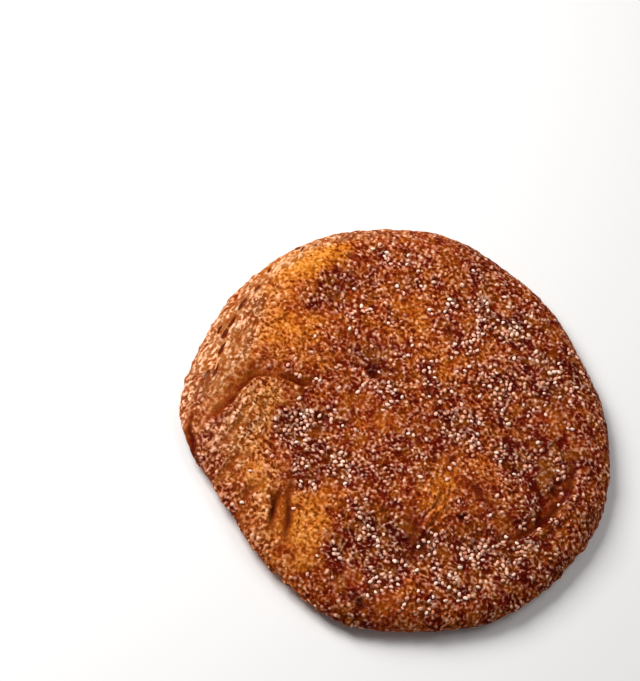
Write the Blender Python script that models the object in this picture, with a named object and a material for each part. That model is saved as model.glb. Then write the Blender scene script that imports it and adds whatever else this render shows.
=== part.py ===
"""An adhirasam: a flat, round sweet of rice flour and jaggery, pressed by hand and fried.

It is one solid, modelled lying on its underside with its pressed face up. Lengths are in metres and
+Z is up. The origin is on the surface that the sweet lies on, under the middle of its bounding box.
The face is a square grid drawn into a disc, and the rim and underside are extruded from its edge.
"""

import math

import bmesh
import bpy
from mathutils import Vector
from mathutils.geometry import intersect_point_line

MM = 0.001

# Driving dimensions.
RADIUS = 50.0 * MM  # mean radius of the outline
FACE_HEIGHT = 7.0 * MM  # the level part of the face above the surface that it lies on
WIDEST_HEIGHT = 2.9 * MM  # where the rim stands out furthest
SHOULDER_WIDTH = 8.5 * MM  # how far in the face starts to round over towards the rim
UNDER_WIDTH = 6.0 * MM  # the same on the underside
UNDER_RISE = 0.3 * MM  # gap under the underside's outer part, which curls up a little
FLAT_RADIUS = 37.0 * MM  # the flat spot that the sweet rests on

# Mesh density.
GRID_CELLS = 52  # cells along each side of the face's grid
ROUND_UNDER_STEPS = 4  # rings from the widest line to the underside

# Where the hand-pressed outline bulges (+) or is flattened (-): angle, half-angle, height.
OUTLINE_LOBES = (
    (-150, 9, 2.4 * MM),
    (-121, 10, -2.1 * MM),
    (-97, 6, -0.5 * MM),
    (-79, 9, 1.8 * MM),
    (-38, 14, 0.7 * MM),
    (8, 12, 0.9 * MM),
    (52, 8, -1.1 * MM),
    (104, 9, 1.3 * MM),
    (164, 13, -0.9 * MM),
)

# The west side rounds over more slowly than the rest: angle, half-angle, extra shoulder width.
SLOW_SHOULDER = (186, 34, 4.5 * MM)

# Where the face puffed up (+) or was pressed in (-): x, y, spread, height.
SWELLINGS = (
    (-37 * MM, 22.8 * MM, 8 * MM, 0.55 * MM),
    (-33 * MM, 5.7 * MM, 6 * MM, 0.35 * MM),
    (-41 * MM, -12.2 * MM, 5 * MM, 0.70 * MM),
    (-30 * MM, -18.3 * MM, 6 * MM, 0.90 * MM),
    (-22 * MM, -35.3 * MM, 6 * MM, 0.45 * MM),
    (-5 * MM, -38.3 * MM, 5 * MM, 0.90 * MM),
    (14 * MM, -17.3 * MM, 5 * MM, 0.80 * MM),
    (26 * MM, -5.3 * MM, 5 * MM, 0.55 * MM),
    (44 * MM, 1.8 * MM, 4 * MM, 0.70 * MM),
    (18 * MM, -41.2 * MM, 6 * MM, 0.45 * MM),
    (33 * MM, 22.7 * MM, 6 * MM, 0.45 * MM),
    (6 * MM, 9.7 * MM, 7 * MM, 0.35 * MM),
    (-10 * MM, 40.8 * MM, 6 * MM, 0.35 * MM),
    (-20 * MM, -14.3 * MM, 5 * MM, -0.75 * MM),
    (-9 * MM, -20.3 * MM, 4 * MM, -0.35 * MM),
    (6 * MM, -31.3 * MM, 5 * MM, -0.80 * MM),
    (30 * MM, -17.3 * MM, 5 * MM, -0.65 * MM),
    (-14 * MM, 8.7 * MM, 4 * MM, -0.65 * MM),
    (8 * MM, 32.7 * MM, 7 * MM, -0.45 * MM),
    (25 * MM, 27.7 * MM, 5 * MM, -0.35 * MM),
    (-27 * MM, 18.7 * MM, 5 * MM, -0.50 * MM),
    (17 * MM, 18.7 * MM, 5 * MM, -0.40 * MM),
    (24 * MM, 7.7 * MM, 4 * MM, -0.30 * MM),
)

# Broad folds in the face: depth, spread, then the points that the fold runs through.
FOLDS = (
    (
        1.3 * MM,
        1.7 * MM,
        (
            (-36.5 * MM, -24.2 * MM),
            (-36.5 * MM, -17.3 * MM),
            (-34 * MM, -10.3 * MM),
            (-29 * MM, -7.3 * MM),
            (-23 * MM, -5.3 * MM),
        ),
    ),
    (
        1.0 * MM,
        1.5 * MM,
        (
            (-16.5 * MM, -29.3 * MM),
            (-14 * MM, -34.3 * MM),
            (-11.5 * MM, -41.3 * MM),
        ),
    ),
    (
        1.3 * MM,
        1.7 * MM,
        (
            (39 * MM, 10.7 * MM),
            (39.5 * MM, 2.7 * MM),
            (38 * MM, -6.3 * MM),
            (34.5 * MM, -12.3 * MM),
        ),
    ),
    (
        0.7 * MM,
        1.6 * MM,
        (
            (9 * MM, -20.3 * MM),
            (12.5 * MM, -25.3 * MM),
            (18 * MM, -29.3 * MM),
        ),
    ),
)


def clear_scene():
    for obj in list(bpy.data.objects):
        bpy.data.objects.remove(obj)


def bell(distance, spread):
    """1 at distance 0, falling smoothly to almost nothing at three spreads."""
    return math.exp(-0.5 * (distance / spread) ** 2)


def angle_apart(a_degrees, b_degrees):
    return (a_degrees - b_degrees + 180) % 360 - 180


def outline_radius(angle):
    """How far the rim stands from the axis in a direction, given in radians."""
    degrees = math.degrees(angle)
    lobes = (
        height * bell(angle_apart(degrees, at), half_angle)
        for at, half_angle, height in OUTLINE_LOBES
    )
    return RADIUS + sum(lobes)


def shoulder_width(angle):
    at, half_angle, extra = SLOW_SHOULDER
    return SHOULDER_WIDTH + extra * bell(angle_apart(math.degrees(angle), at), half_angle)


def distance_to_path(point, path):
    """Distance from a point to a run of straight stretches."""
    nearest = math.inf
    for start, end in zip(path, path[1:]):
        start, end = Vector(start), Vector(end)
        on_line, share = intersect_point_line(point, start, end)
        on_stretch = start.lerp(end, min(max(share, 0.0), 1.0))
        nearest = min(nearest, (point - on_stretch).length)
    return nearest


def face_relief(point):
    """Height of the puffed, pressed and folded face over its level form."""
    swellings = (
        height * bell((point - Vector((x, y))).length, spread)
        for x, y, spread, height in SWELLINGS
    )
    folds = (
        depth * bell(distance_to_path(point, path), spread)
        for depth, spread, path in FOLDS
    )
    return sum(swellings) - sum(folds)


def square_to_disc(a, b):
    """Share of the way out, 0 to 1, and direction of a grid point whose a and b run from -1 to 1."""
    if a == 0 and b == 0:
        return 0.0, 0.0
    if abs(a) >= abs(b):
        share, angle = abs(a), math.pi / 4 * b / a
        return share, angle if a > 0 else angle + math.pi
    share, angle = abs(b), math.pi / 2 - math.pi / 4 * a / b
    return share, angle if b > 0 else angle + math.pi


def face_point(share, angle):
    """A point of the face. Past its level part it follows a quarter of an ellipse to the widest line."""
    reach = outline_radius(angle)
    width = shoulder_width(angle)
    drop = FACE_HEIGHT - WIDEST_HEIGHT
    level_reach = reach - width
    # Perimeter of a quarter ellipse, so that points are spaced evenly along the section.
    arc = math.pi / 2 * math.sqrt((width**2 + drop**2) / 2)
    along = share * (level_reach + arc)
    turn = max(along - level_reach, 0.0) / arc * math.pi / 2
    radius = min(along, level_reach) + width * math.sin(turn)
    flat = Vector((radius * math.cos(angle), radius * math.sin(angle)))
    height = WIDEST_HEIGHT + drop * math.cos(turn) + face_relief(flat) * math.cos(turn)
    return Vector((*flat, height))


def add_face(bm):
    """The grid of the face. Its boundary lies on the sweet's widest line."""
    bmesh.ops.create_grid(bm, x_segments=GRID_CELLS, y_segments=GRID_CELLS, size=1.0)
    for vert in bm.verts:
        a, b = round(vert.co.x, 6), round(vert.co.y, 6)
        vert.co = face_point(*square_to_disc(a, b))


def under_rings():
    """How far in from the outline and how high each ring under the widest line lies.

    The last one is the flat spot's edge.
    """
    for step in range(1, ROUND_UNDER_STEPS + 1):
        turn = math.pi / 2 * step / ROUND_UNDER_STEPS
        inset = UNDER_WIDTH * (1 - math.cos(turn))
        height = WIDEST_HEIGHT - (WIDEST_HEIGHT - UNDER_RISE) * math.sin(turn)
        yield inset, height
    yield RADIUS - FLAT_RADIUS, 0.0


def add_underside(bm):
    """Extrudes the face's boundary down and inwards ring by ring, then closes the flat spot."""
    ring = [edge for edge in bm.edges if edge.is_boundary]
    for inset, height in under_rings():
        made = bmesh.ops.extrude_edge_only(bm, edges=ring)["geom"]
        ring = [item for item in made if isinstance(item, bmesh.types.BMEdge)]
        ring = [edge for edge in ring if edge.is_boundary]
        for vert in {vert for edge in ring for vert in edge.verts}:
            angle = math.atan2(vert.co.y, vert.co.x)
            radius = outline_radius(angle) - inset
            vert.co = (radius * math.cos(angle), radius * math.sin(angle), height)
    bmesh.ops.contextual_create(bm, geom=ring)


def centre_on_origin(bm):
    """Puts the middle of the bounding box over the origin."""
    xs = [vert.co.x for vert in bm.verts]
    ys = [vert.co.y for vert in bm.verts]
    middle = Vector(((min(xs) + max(xs)) / 2, (min(ys) + max(ys)) / 2, 0.0))
    bmesh.ops.translate(bm, verts=bm.verts, vec=-middle)


def fried_dough_material():
    material = bpy.data.materials.new("fried_dough")
    material.use_nodes = True
    surface = material.node_tree.nodes["Principled BSDF"]
    surface.inputs["Base Color"].default_value = (0.36, 0.115, 0.018, 1.0)
    surface.inputs["Roughness"].default_value = 0.42
    surface.inputs["Metallic"].default_value = 0.0
    return material


def make_sweet():
    bm = bmesh.new()
    add_face(bm)
    add_underside(bm)
    centre_on_origin(bm)
    bmesh.ops.recalc_face_normals(bm, faces=bm.faces)
    mesh = bpy.data.meshes.new("adhirasam")
    bm.to_mesh(mesh)
    bm.free()
    mesh.shade_smooth()
    sweet = bpy.data.objects.new("adhirasam", mesh)
    sweet.data.materials.append(fried_dough_material())
    bpy.context.scene.collection.objects.link(sweet)
    return sweet


clear_scene()
make_sweet()
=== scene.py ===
# %% [markdown]
# # An adhirasam
#
# Adhirasam is a South Indian sweet: rice flour and jaggery syrup are kneaded, patted into a disc,
# fried in oil and pressed flat while hot. This one is sprinkled with white poppy seeds. The notebook
# makes two pieces. The crust is one closed mesh with every fold and grain in it, and the seeds are a
# second mesh. Both sit in the frame of the construction model, which says how big the sweet is and
# where it lies.

# %% Load the frame
import math

import bmesh
import bpy
import numpy as np
from mathutils import Matrix, Vector


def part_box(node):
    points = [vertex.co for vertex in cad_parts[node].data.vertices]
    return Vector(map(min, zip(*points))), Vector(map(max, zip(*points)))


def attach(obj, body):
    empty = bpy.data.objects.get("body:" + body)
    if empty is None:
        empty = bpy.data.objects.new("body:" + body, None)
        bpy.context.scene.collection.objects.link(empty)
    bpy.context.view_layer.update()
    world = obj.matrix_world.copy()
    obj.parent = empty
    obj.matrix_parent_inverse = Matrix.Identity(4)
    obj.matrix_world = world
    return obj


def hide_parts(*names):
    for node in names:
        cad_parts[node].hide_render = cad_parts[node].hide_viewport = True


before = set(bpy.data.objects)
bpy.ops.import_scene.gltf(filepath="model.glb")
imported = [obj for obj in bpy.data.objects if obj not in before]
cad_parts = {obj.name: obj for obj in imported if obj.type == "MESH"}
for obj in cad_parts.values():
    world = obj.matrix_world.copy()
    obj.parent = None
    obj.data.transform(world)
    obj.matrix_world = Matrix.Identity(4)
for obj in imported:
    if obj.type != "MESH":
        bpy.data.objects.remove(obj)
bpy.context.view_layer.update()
low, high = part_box("adhirasam")
print("construction model, mm:", [round(size * 1000, 1) for size in high - low])

# %% [markdown]
# ## Working in millimetres
#
# Blender's unit is the metre, but a sweet is easier to think about in millimetres. All the shapes
# below are worked out in millimetres with numpy, and are scaled once, when a mesh is made. Many of
# them are soft bumps, so the first helper is a bell curve: 1 in the middle and almost 0 at three
# spreads. Another is a gentle noise. It puts random heights on a square lattice and blends between
# them, and it repeats only after 64 cells.

# %% Helpers for soft shapes
MM = 0.001
LATTICE = 64  # cells before the noise repeats


def bell(distance, spread):
    return np.exp(-0.5 * (distance / spread) ** 2)


def smooth_step(low_end, high_end, value):
    share = np.clip((value - low_end) / (high_end - low_end), 0, 1)
    return share * share * (3 - 2 * share)


def noise(x, y, size, seed):
    """Random heights from -1 to 1 on a lattice of that size in mm, blended smoothly."""
    lattice = np.random.default_rng(seed).uniform(-1, 1, (LATTICE, LATTICE))
    column, row = np.floor(x / size).astype(int), np.floor(y / size).astype(int)
    across, along = smooth_step(0, 1, x / size - column), smooth_step(0, 1, y / size - row)
    west, east = column % LATTICE, (column + 1) % LATTICE
    south, north = row % LATTICE, (row + 1) % LATTICE
    lower = lattice[south, west] * (1 - across) + lattice[south, east] * across
    upper = lattice[north, west] * (1 - across) + lattice[north, east] * across
    return lower * (1 - along) + upper * along


# %% [markdown]
# ## The outline
#
# Dough that is patted by hand is nearly round, with a few bulges and flats where the fingers were.
# One mean radius and a short list of lobes gives the same outline as the construction model. A fine
# noise is added, because the real rim is slightly jagged.

# %% Outline of the rim
RADIUS = 50.0

# Angle, half-angle and height of each bulge (+) or flat (-).
OUTLINE_LOBES = (
    (-150, 9, 2.4),
    (-121, 10, -2.1),
    (-97, 6, -0.5),
    (-79, 9, 1.8),
    (-38, 14, 0.7),
    (8, 12, 0.9),
    (52, 8, -1.1),
    (104, 9, 1.3),
    (164, 13, -0.9),
)


def degrees_apart(angle, at):
    return (np.degrees(angle) - at + 180) % 360 - 180


def outline_radius(angle):
    reach = np.full_like(angle, RADIUS)
    for at, half_angle, height in OUTLINE_LOBES:
        reach += height * bell(degrees_apart(angle, at), half_angle)
    return reach


def outline_middle():
    """The middle of the outline's box, which the frame has at its origin."""
    angle = np.radians(np.arange(0, 360, 0.5))
    x, y = outline_radius(angle) * np.cos(angle), outline_radius(angle) * np.sin(angle)
    return (x.min() + x.max()) / 2, (y.min() + y.max()) / 2


MIDDLE_X, MIDDLE_Y = outline_middle()
print(f"outline's middle: {MIDDLE_X:.2f}, {MIDDLE_Y:.2f} mm")

# %% [markdown]
# ## The section of the rim
#
# From the side, the face is level and then rolls over to the rim in a quarter of an ellipse. The
# underside does the same the other way up, a little tighter. The left side rolls over more slowly
# than the rest. A point of the surface is found from how far it is from the middle, measured along
# the section, so that the mesh stays as fine on the rim as on the face.

# %% Section of the rim
FACE_HEIGHT = 7.0
WIDEST_HEIGHT = 2.9
SHOULDER_WIDTH = 8.5
SLOW_SHOULDER = (186, 34, 4.5)  # angle, half-angle, extra width
UNDER_WIDTH = 6.0
UNDER_RISE = 0.3
FLAT_RADIUS = 37.0
QUARTER = math.pi / 2
SEAM_TURN = math.radians(60)  # how far round the underside's curve the fine face mesh reaches


def shoulder_width(angle):
    at, half_angle, extra = SLOW_SHOULDER
    return SHOULDER_WIDTH + extra * bell(degrees_apart(angle, at), half_angle)


def quarter_arc(width, drop):
    """About the length of a quarter of an ellipse."""
    return QUARTER * np.sqrt((width**2 + drop**2) / 2)


def face_section(share, angle):
    """Radius, height and how level the surface is, for a share of the way from middle to seam."""
    reach, width = outline_radius(angle), shoulder_width(angle)
    drop, rise = FACE_HEIGHT - WIDEST_HEIGHT, WIDEST_HEIGHT - UNDER_RISE
    level = reach - width
    upper_arc = quarter_arc(width, drop)
    lower_arc = quarter_arc(UNDER_WIDTH, rise)
    along = share * (level + upper_arc + lower_arc * SEAM_TURN / QUARTER)
    upper = np.clip((along - level) / upper_arc, 0, 1) * QUARTER
    lower = np.maximum(along - level - upper_arc, 0) / lower_arc * QUARTER
    radius = np.minimum(along, level) + width * np.sin(upper) - UNDER_WIDTH * (1 - np.cos(lower))
    height = WIDEST_HEIGHT + drop * np.cos(upper) - rise * np.sin(lower)
    return radius, height, np.cos(upper)


def under_section(share, angle):
    rise = WIDEST_HEIGHT - UNDER_RISE
    level = outline_radius(angle) - UNDER_WIDTH
    arc = quarter_arc(UNDER_WIDTH, rise)
    along = share * (level + arc * (1 - SEAM_TURN / QUARTER))
    turn = np.maximum(along - level, 0) / arc * QUARTER
    radius = np.minimum(along, level) + UNDER_WIDTH * np.sin(turn)
    height = UNDER_RISE * smooth_step(FLAT_RADIUS, level, radius) + rise * (1 - np.cos(turn))
    return radius, height, np.cos(turn)


# %% [markdown]
# ## A grid drawn into a disc
#
# A disc could be meshed with rings and spokes, but then its middle is crowded and its rim is coarse.
# A square grid whose outer squares are bent into circles keeps its cells nearly the same size all
# over. The face takes a fine grid, because the smallest grains are about a millimetre. The underside
# takes every second line of it.

# %% The grid
FACE_CELLS = 280
UNDER_CELLS = FACE_CELLS // 2


def disc_grid(cells):
    """Share of the way out and direction of each point of a square grid bent into a disc."""
    side = np.linspace(-1, 1, cells + 1)
    a, b = np.meshgrid(side, side)
    share = np.maximum(np.abs(a), np.abs(b))
    wide = np.abs(a) >= np.abs(b)
    safe = np.where(share > 0, share, 1)
    slant = np.where(wide, b * np.sign(a), a * np.sign(b)) / safe
    angle = np.where(
        wide,
        math.pi / 4 * slant + np.where(a < 0, math.pi, 0),
        QUARTER - math.pi / 4 * slant + np.where(b < 0, math.pi, 0),
    )
    return share.ravel(), angle.ravel()


def grid_faces(cells, start, flip=False):
    """Quads of a grid whose points are numbered row by row from start."""
    line = cells + 1
    row, column = np.divmod(np.arange(cells * cells), cells)
    corner = start + row * line + column
    quads = np.stack([corner, corner + 1, corner + 1 + line, corner + line], axis=1)
    return quads[:, ::-1] if flip else quads


def grid_border(cells, start):
    """The grid's border points, counter-clockwise from its first corner."""
    line = cells + 1
    run = np.arange(cells)
    return start + np.concatenate(
        [run, cells + run * line, line * line - 1 - run, cells * line - run * line]
    )


# %% [markdown]
# ## Swellings and folds
#
# Steam puffs the face up in some places, and the press pushes it down in others. These are broad
# bells in the construction model's places, a little stronger than there. Folds are narrower. Each
# one is a valley along a smooth line through a few points. One side is steep, with a lip of dough
# pushed up beside it, and the other side is an open slope. The distance of every point from that
# line comes from its nearest sample, and its side comes from a cross product. The colour needs to
# know how near the fold's line a point is and how far down the slope, so both come back too.

# %% Swellings
SWELLINGS = (
    (-37, 22.8, 8, 0.55),
    (-33, 5.7, 6, 0.35),
    (-41, -12.2, 5, 0.7),
    (-30, -18.3, 6, 0.9),
    (-22, -35.3, 6, 0.45),
    (-5, -38.3, 5, 0.9),
    (14, -17.3, 5, 0.8),
    (26, -5.3, 5, 0.55),
    (44, 1.8, 4, 0.7),
    (18, -41.2, 6, 0.45),
    (33, 22.7, 6, 0.45),
    (6, 9.7, 7, 0.35),
    (-10, 40.8, 6, 0.35),
    (-20, -14.3, 5, -0.75),
    (-9, -20.3, 4, -0.35),
    (6, -31.3, 5, -0.8),
    (30, -17.3, 5, -0.65),
    (-14, 8.7, 4, -0.65),
    (8, 32.7, 7, -0.45),
    (25, 27.7, 5, -0.35),
    (-27, 18.7, 5, -0.5),
    (17, 18.7, 5, -0.4),
    (24, 7.7, 4, -0.3),
)
PUFF = 1.35  # the crust puffs up a little more sharply than the construction model


def swell(x, y):
    height = 0.22 * noise(x, y, 9.0, 11) + 0.14 * noise(x, y, 4.3, 12)
    for at_x, at_y, spread, amount in SWELLINGS:
        height = height + PUFF * amount * bell(np.hypot(x - at_x, y - at_y), spread)
    return height


# %% Folds
# Depth, spread on the lip's side, spread on the open side, lip height (positive on the left of the
# way the fold runs), and its points.
FOLDS = (
    (
        1.8, 0.6, 2, -0.4,
        ((-38.5, -25.2), (-37.2, -20.3), (-36.2, -15.3), (-35.2, -11.6), (-33.2, -9.1), (-30, -8.1)),
    ),
    (1.1, 0.5, 0.9, -0.25, ((-31.5, -7.9), (-28, -6.2), (-24.5, -5.9), (-22.6, -3.1))),
    (0.6, 0.5, 0.5, -0.2, ((-38.6, -24.2), (-37.6, -21.2), (-36.8, -19.9))),
    (0.55, 0.4, 0.6, -0.2, ((-32.6, -19.8), (-33, -24.3), (-32.8, -28.7))),
    (1.15, 0.6, 1.3, 0.3, ((-16, -28.3), (-14.5, -33.3), (-12.5, -36.8), (-11, -40.3), (-10.3, -43.2))),
    (0.9, 0.55, 1, -0.2, ((-17.5, -32.3), (-16, -37.3), (-14, -42.2))),
    (
        1.45, 1.1, 1.6, 0.45,
        ((39, 12.7), (40.2, 5.7), (39.5, -1.3), (37.5, -8.3), (34.5, -12.3), (31, -15.3)),
    ),
    (0.75, 0.55, 0.8, 0.4, ((-1.8, 16.2), (0.2, 12.2), (2.2, 8.7), (4, 5.9))),
    (0.55, 0.6, 0.8, 0.25, ((19, -6.8), (23, -8.3), (28, -10.5))),
    (0.7, 0.55, 0.9, 0.25, ((11.5, -20.3), (13.5, -24.3), (15.2, -27.8), (16, -30.8))),
    (0.6, 0.55, 0.8, 0.2, ((18.5, -21.3), (17, -26.3), (15.8, -30.3))),
    (0.9, 0.7, 1.2, 0.25, ((-43.5, -25.6), (-41.5, -29.6), (-39, -32.6), (-35.5, -35.4))),
    (0.45, 0.4, 0.6, 0.15, ((-41.5, -0.8), (-42.3, -4.2), (-41.5, -8.7))),
    (0.45, 0.4, 0.6, 0.15, ((-40.5, -11.8), (-41.3, -15.2), (-42, -19.7))),
    (0.4, 0.4, 0.5, 0.1, ((-45.5, 3.8), (-46.5, -1.2), (-46.3, -5.2))),
    (0.6, 0.5, 0.8, 0.2, ((-28, -28.3), (-29.5, -32.2), (-30, -37.2))),
    (0.6, 0.5, 0.8, 0.2, ((-21.5, -32.3), (-23, -37.2), (-22.5, -43.6))),
)
FOLD_SAMPLES = 60
FOLD_WANDER = 0.7  # how far noise bends a fold off its curve
# The dark line is partly the syrup's own colour and partly painted shade.
LINE_SPREAD = 0.6  # half the width of the dark line at a fold's bottom
LIP_AT = 2.1  # how far from that line the lip stands, in spreads


def smooth_path(points, count):
    """Points along a Catmull-Rom curve that passes through the given ones."""
    points = np.array(points, float)
    padded = np.vstack([2 * points[0] - points[1], points, 2 * points[-1] - points[-2]])
    where = np.linspace(0, len(points) - 1 - 1e-6, count)
    start = where.astype(int)
    t = (where - start)[:, None]
    a, b, c, d = (padded[start + step] for step in range(4))
    return 0.5 * (2 * b + (c - a) * t + (2 * a - 5 * b + 4 * c - d) * t**2 + (3 * b - a - 3 * c + d) * t**3)


def fold_shape(x, y, points):
    """Distance to a fold, negative on its right, and how near its middle the nearest sample is."""
    path = smooth_path(points, FOLD_SAMPLES)
    heading = np.gradient(path, axis=0)
    heading /= np.hypot(heading[:, 0], heading[:, 1])[:, None]
    apart_x, apart_y = x[:, None] - path[:, 0], y[:, None] - path[:, 1]
    nearest = np.argmin(apart_x**2 + apart_y**2, axis=1)
    every = np.arange(len(x))
    off_x, off_y = apart_x[every, nearest], apart_y[every, nearest]
    side = np.sign(heading[nearest, 0] * off_y - heading[nearest, 1] * off_x)
    middle = np.sin(math.pi * np.clip(nearest / (FOLD_SAMPLES - 1), 0.02, 0.98)) ** 0.6
    return side * np.hypot(off_x, off_y), middle


def fold(x, y):
    """Height added by the folds, then how far into a fold's line and its open slope each point is."""
    x_bent, y_bent = (at + FOLD_WANDER * noise(x, y, 3.1, seed) for at, seed in ((x, 21), (y, 22)))
    height, line, slope = np.zeros_like(x), np.zeros_like(x), np.zeros_like(x)
    for depth, spread, open_spread, lip, points in FOLDS:
        distance, middle = fold_shape(x_bent, y_bent, points)
        valley = bell(distance, np.where(distance * lip > 0, spread, open_spread)) * middle
        beside = bell(distance - math.copysign(LIP_AT * spread, lip), spread) * middle
        height += abs(lip) * beside - depth * valley
        strength = np.sqrt(middle) * min(1.15 * depth, 1)
        line = np.maximum(line, bell(distance, LINE_SPREAD) * strength)
        open_side = bell(distance, 1.15 * open_spread) * smooth_step(0.4, -0.4, distance * np.sign(lip))
        slope = np.maximum(slope, open_side * strength * min(depth, 1))
    return height, line, slope


# %% [markdown]
# ## Pits and stretched dough
#
# Where a bubble burst there is a round pit. Where the press dragged the skin, it has fine parallel
# ridges like a fingerprint. A patch of ridges is a wave across one direction, bent by noise so that
# no two ridges are alike, and faded out towards the patch's edge. The furrows between them are
# painted dark in places, partly as shade, so the function also says how deep in a furrow each point
# is.

# %% Pits
# Place, radius and depth.
PITS = (
    (-11.5, 6.1, 1.3, 1),
    (-14.6, 10.5, 0.9, 0.5),
    (-12.5, 8.2, 0.8, 0.6),
    (-29.3, 29.8, 0.8, 0.7),
    (-27.2, 26.3, 0.7, 0.5),
    (-17, -11.3, 1.2, 0.7),
    (21.8, -15.8, 0.8, 0.7),
    (38.2, -5.8, 1.5, 0.6),
    (38.5, 2.7, 1.4, 0.6),
    (13, -27.8, 1.1, 0.6),
    (27, 26.2, 0.9, 0.5),
    (11, -46.6, 1.2, 0.6),
    (-22, -42.6, 0.9, 0.6),
    (-0.5, 25.7, 0.9, 0.5),
    (24.5, 6.7, 0.8, 0.5),
    (-28, 17.7, 0.8, 0.4),
    (5.5, -28.3, 0.9, 0.5),
    (11.5, -38.8, 0.9, 0.5),
)
PIT_SPREAD = 0.75  # of its radius
RIM_AT, RIM_SPREAD, RIM_HEIGHT = 1.7, 0.4, 0.25  # the rim around a pit, in radii and in depths


def pits(x, y):
    height, inside = np.zeros_like(x), np.zeros_like(x)
    bent_x, bent_y = x + 0.5 * noise(x, y, 1.9, 31), y + 0.5 * noise(x, y, 1.9, 32)
    for at_x, at_y, radius, depth in PITS:
        distance = np.hypot(bent_x - at_x, bent_y - at_y)
        hole = bell(distance, radius * PIT_SPREAD)
        rim = bell(distance - RIM_AT * radius, RIM_SPREAD * radius)
        height += RIM_HEIGHT * depth * rim - depth * hole
        inside = np.maximum(inside, hole * min(1, depth * 1.3))
    return height, inside


# %% Ridges
# Place, half-width, half-length, direction that the ridges run in, pitch and height.
RIDGES = (
    (-31, -23.3, 5, 12, 93, 1.9, 0.2),
    (-19, -36.3, 4.5, 8, 106, 2.6, 0.12),
    (-6, -39.3, 3.6, 7.5, 92, 1.6, 0.1),
    (15, -15.3, 3.8, 8, 84, 1.7, 0.32),
    (28, -5.3, 2.8, 8, -6, 1.6, 0.26),
    (-46, -2.2, 3.6, 11, 91, 1.15, 0.17),
    (-43, -15.2, 3.2, 7, 80, 1.3, 0.14),
    (-43, 19.4, 2.8, 10, 62, 1.2, 0.08),
    (9, 18.7, 4, 6, 75, 1.4, 0.12),
    (-20, 3.7, 6, 7, 95, 1.5, 0.1),
    (34, 17.7, 3.6, 7, 115, 1.5, 0.14),
    (13, -42.2, 5, 6, 70, 1.6, 0.08),
    (-3, -16.3, 5, 8, 88, 1.6, 0.12),
)


def oval(x, y, half_width, half_length, direction):
    """A soft oval around the origin, and how far each point is across its long axis."""
    turn = math.radians(direction)
    along = x * math.cos(turn) + y * math.sin(turn)
    across = y * math.cos(turn) - x * math.sin(turn)
    return np.exp(-0.5 * ((across / half_width) ** 2 + (along / half_length) ** 2)), across


def ridges(x, y):
    """Height of the ridges, and how deep in a furrow between them each point is from 0 to 1."""
    height, inside = np.zeros_like(x), np.zeros_like(x)
    bend = 1.1 * noise(x, y, 5.5, 41) + 0.45 * noise(x, y, 2.1, 42)
    strength = 0.62 + 0.38 * noise(x, y, 2.6, 43)
    broken = smooth_step(-0.35, 0.25, noise(x, y, 1.9, 44))
    for at_x, at_y, half_width, half_length, direction, pitch, amount in RIDGES:
        patch, across = oval(x - at_x, y - at_y, half_width, half_length, direction)
        wave = 2 * np.abs(np.sin(math.pi * (across + bend) / pitch)) ** 0.9 - 1
        height += amount * wave * patch * strength
        furrow = smooth_step(0.0, -0.8, wave) * patch * broken
        inside = np.maximum(inside, furrow * min(amount / 0.16, 1))
    return height, inside


# %% [markdown]
# ## The crust's blank
#
# The face, rim and underside are now put together into one closed mesh. The underside's relief only
# ever goes up into the sweet, so nothing reaches below the surface that it lies on. The two grids
# meet at a seam under the rim, where a strip of triangles joins two face cells to each underside
# cell.

# %% Face and underside
def face_points():
    share, angle = disc_grid(FACE_CELLS)
    radius, height, level = face_section(share, angle)
    round_rim = angle * RADIUS
    fine = 0.28 * noise(round_rim, height * 1.5, 2.3, 51) + 0.22 * noise(round_rim, height, 1.1, 52)
    radius = radius + fine * (1 - level) * smooth_step(0, 1, (1 - share) * 40)
    x, y = radius * np.cos(angle), radius * np.sin(angle)
    fold_height, in_line, on_slope = fold(x, y)
    pit_height, in_pit = pits(x, y)
    ridge_height, in_furrow = ridges(x, y)
    height = height + (swell(x, y) + fold_height + pit_height + ridge_height) * level
    # The material darkens these hollows, partly as painted shade.
    hollow = np.maximum(np.maximum(in_line, in_pit), 0.75 * in_furrow)
    return x, y, height, hollow, on_slope


def under_points():
    share, angle = disc_grid(UNDER_CELLS)
    radius, height, level = under_section(share, angle)
    x, y = radius * np.cos(angle), radius * np.sin(angle)
    dents = np.maximum(noise(x, y, 7.0, 61) + 0.5 * noise(x, y, 2.7, 62), 0)
    height = height + 0.45 * dents * level * smooth_step(0, 1, (1 - share) * 12)
    return x, y, height


def seam_faces(fine, coarse):
    """Three triangles for each coarse edge, which two fine edges face."""
    count = len(coarse)
    here, after = np.arange(count), (np.arange(count) + 1) % count
    first, middle, last = fine[2 * here], fine[2 * here + 1], fine[2 * after]
    return np.concatenate(
        [
            np.stack([first, coarse[here], middle], axis=1),
            np.stack([middle, coarse[here], coarse[after]], axis=1),
            np.stack([middle, coarse[after], last], axis=1),
        ]
    )


face_x, face_y, face_z, hollow, on_slope = face_points()
under_x, under_y, under_z = under_points()
face_count = len(face_x)
print(f"face {face_count} points, {face_z.min():.1f} to {face_z.max():.1f} mm high")

# %% Mesh of the blank
def new_mesh(name, points, faces):
    mesh = bpy.data.meshes.new(name)
    mesh.from_pydata(points, [], faces)
    mesh.update()
    mesh.validate()
    return mesh


def new_object(name, mesh):
    made = bpy.data.objects.new(name, mesh)
    bpy.context.scene.collection.objects.link(made)
    return made


def store(mesh, name, values):
    """Keeps one number for each point under a name that node trees can read."""
    mesh.attributes.new(name, "FLOAT", "POINT").data.foreach_set("value", np.float32(values))


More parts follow.
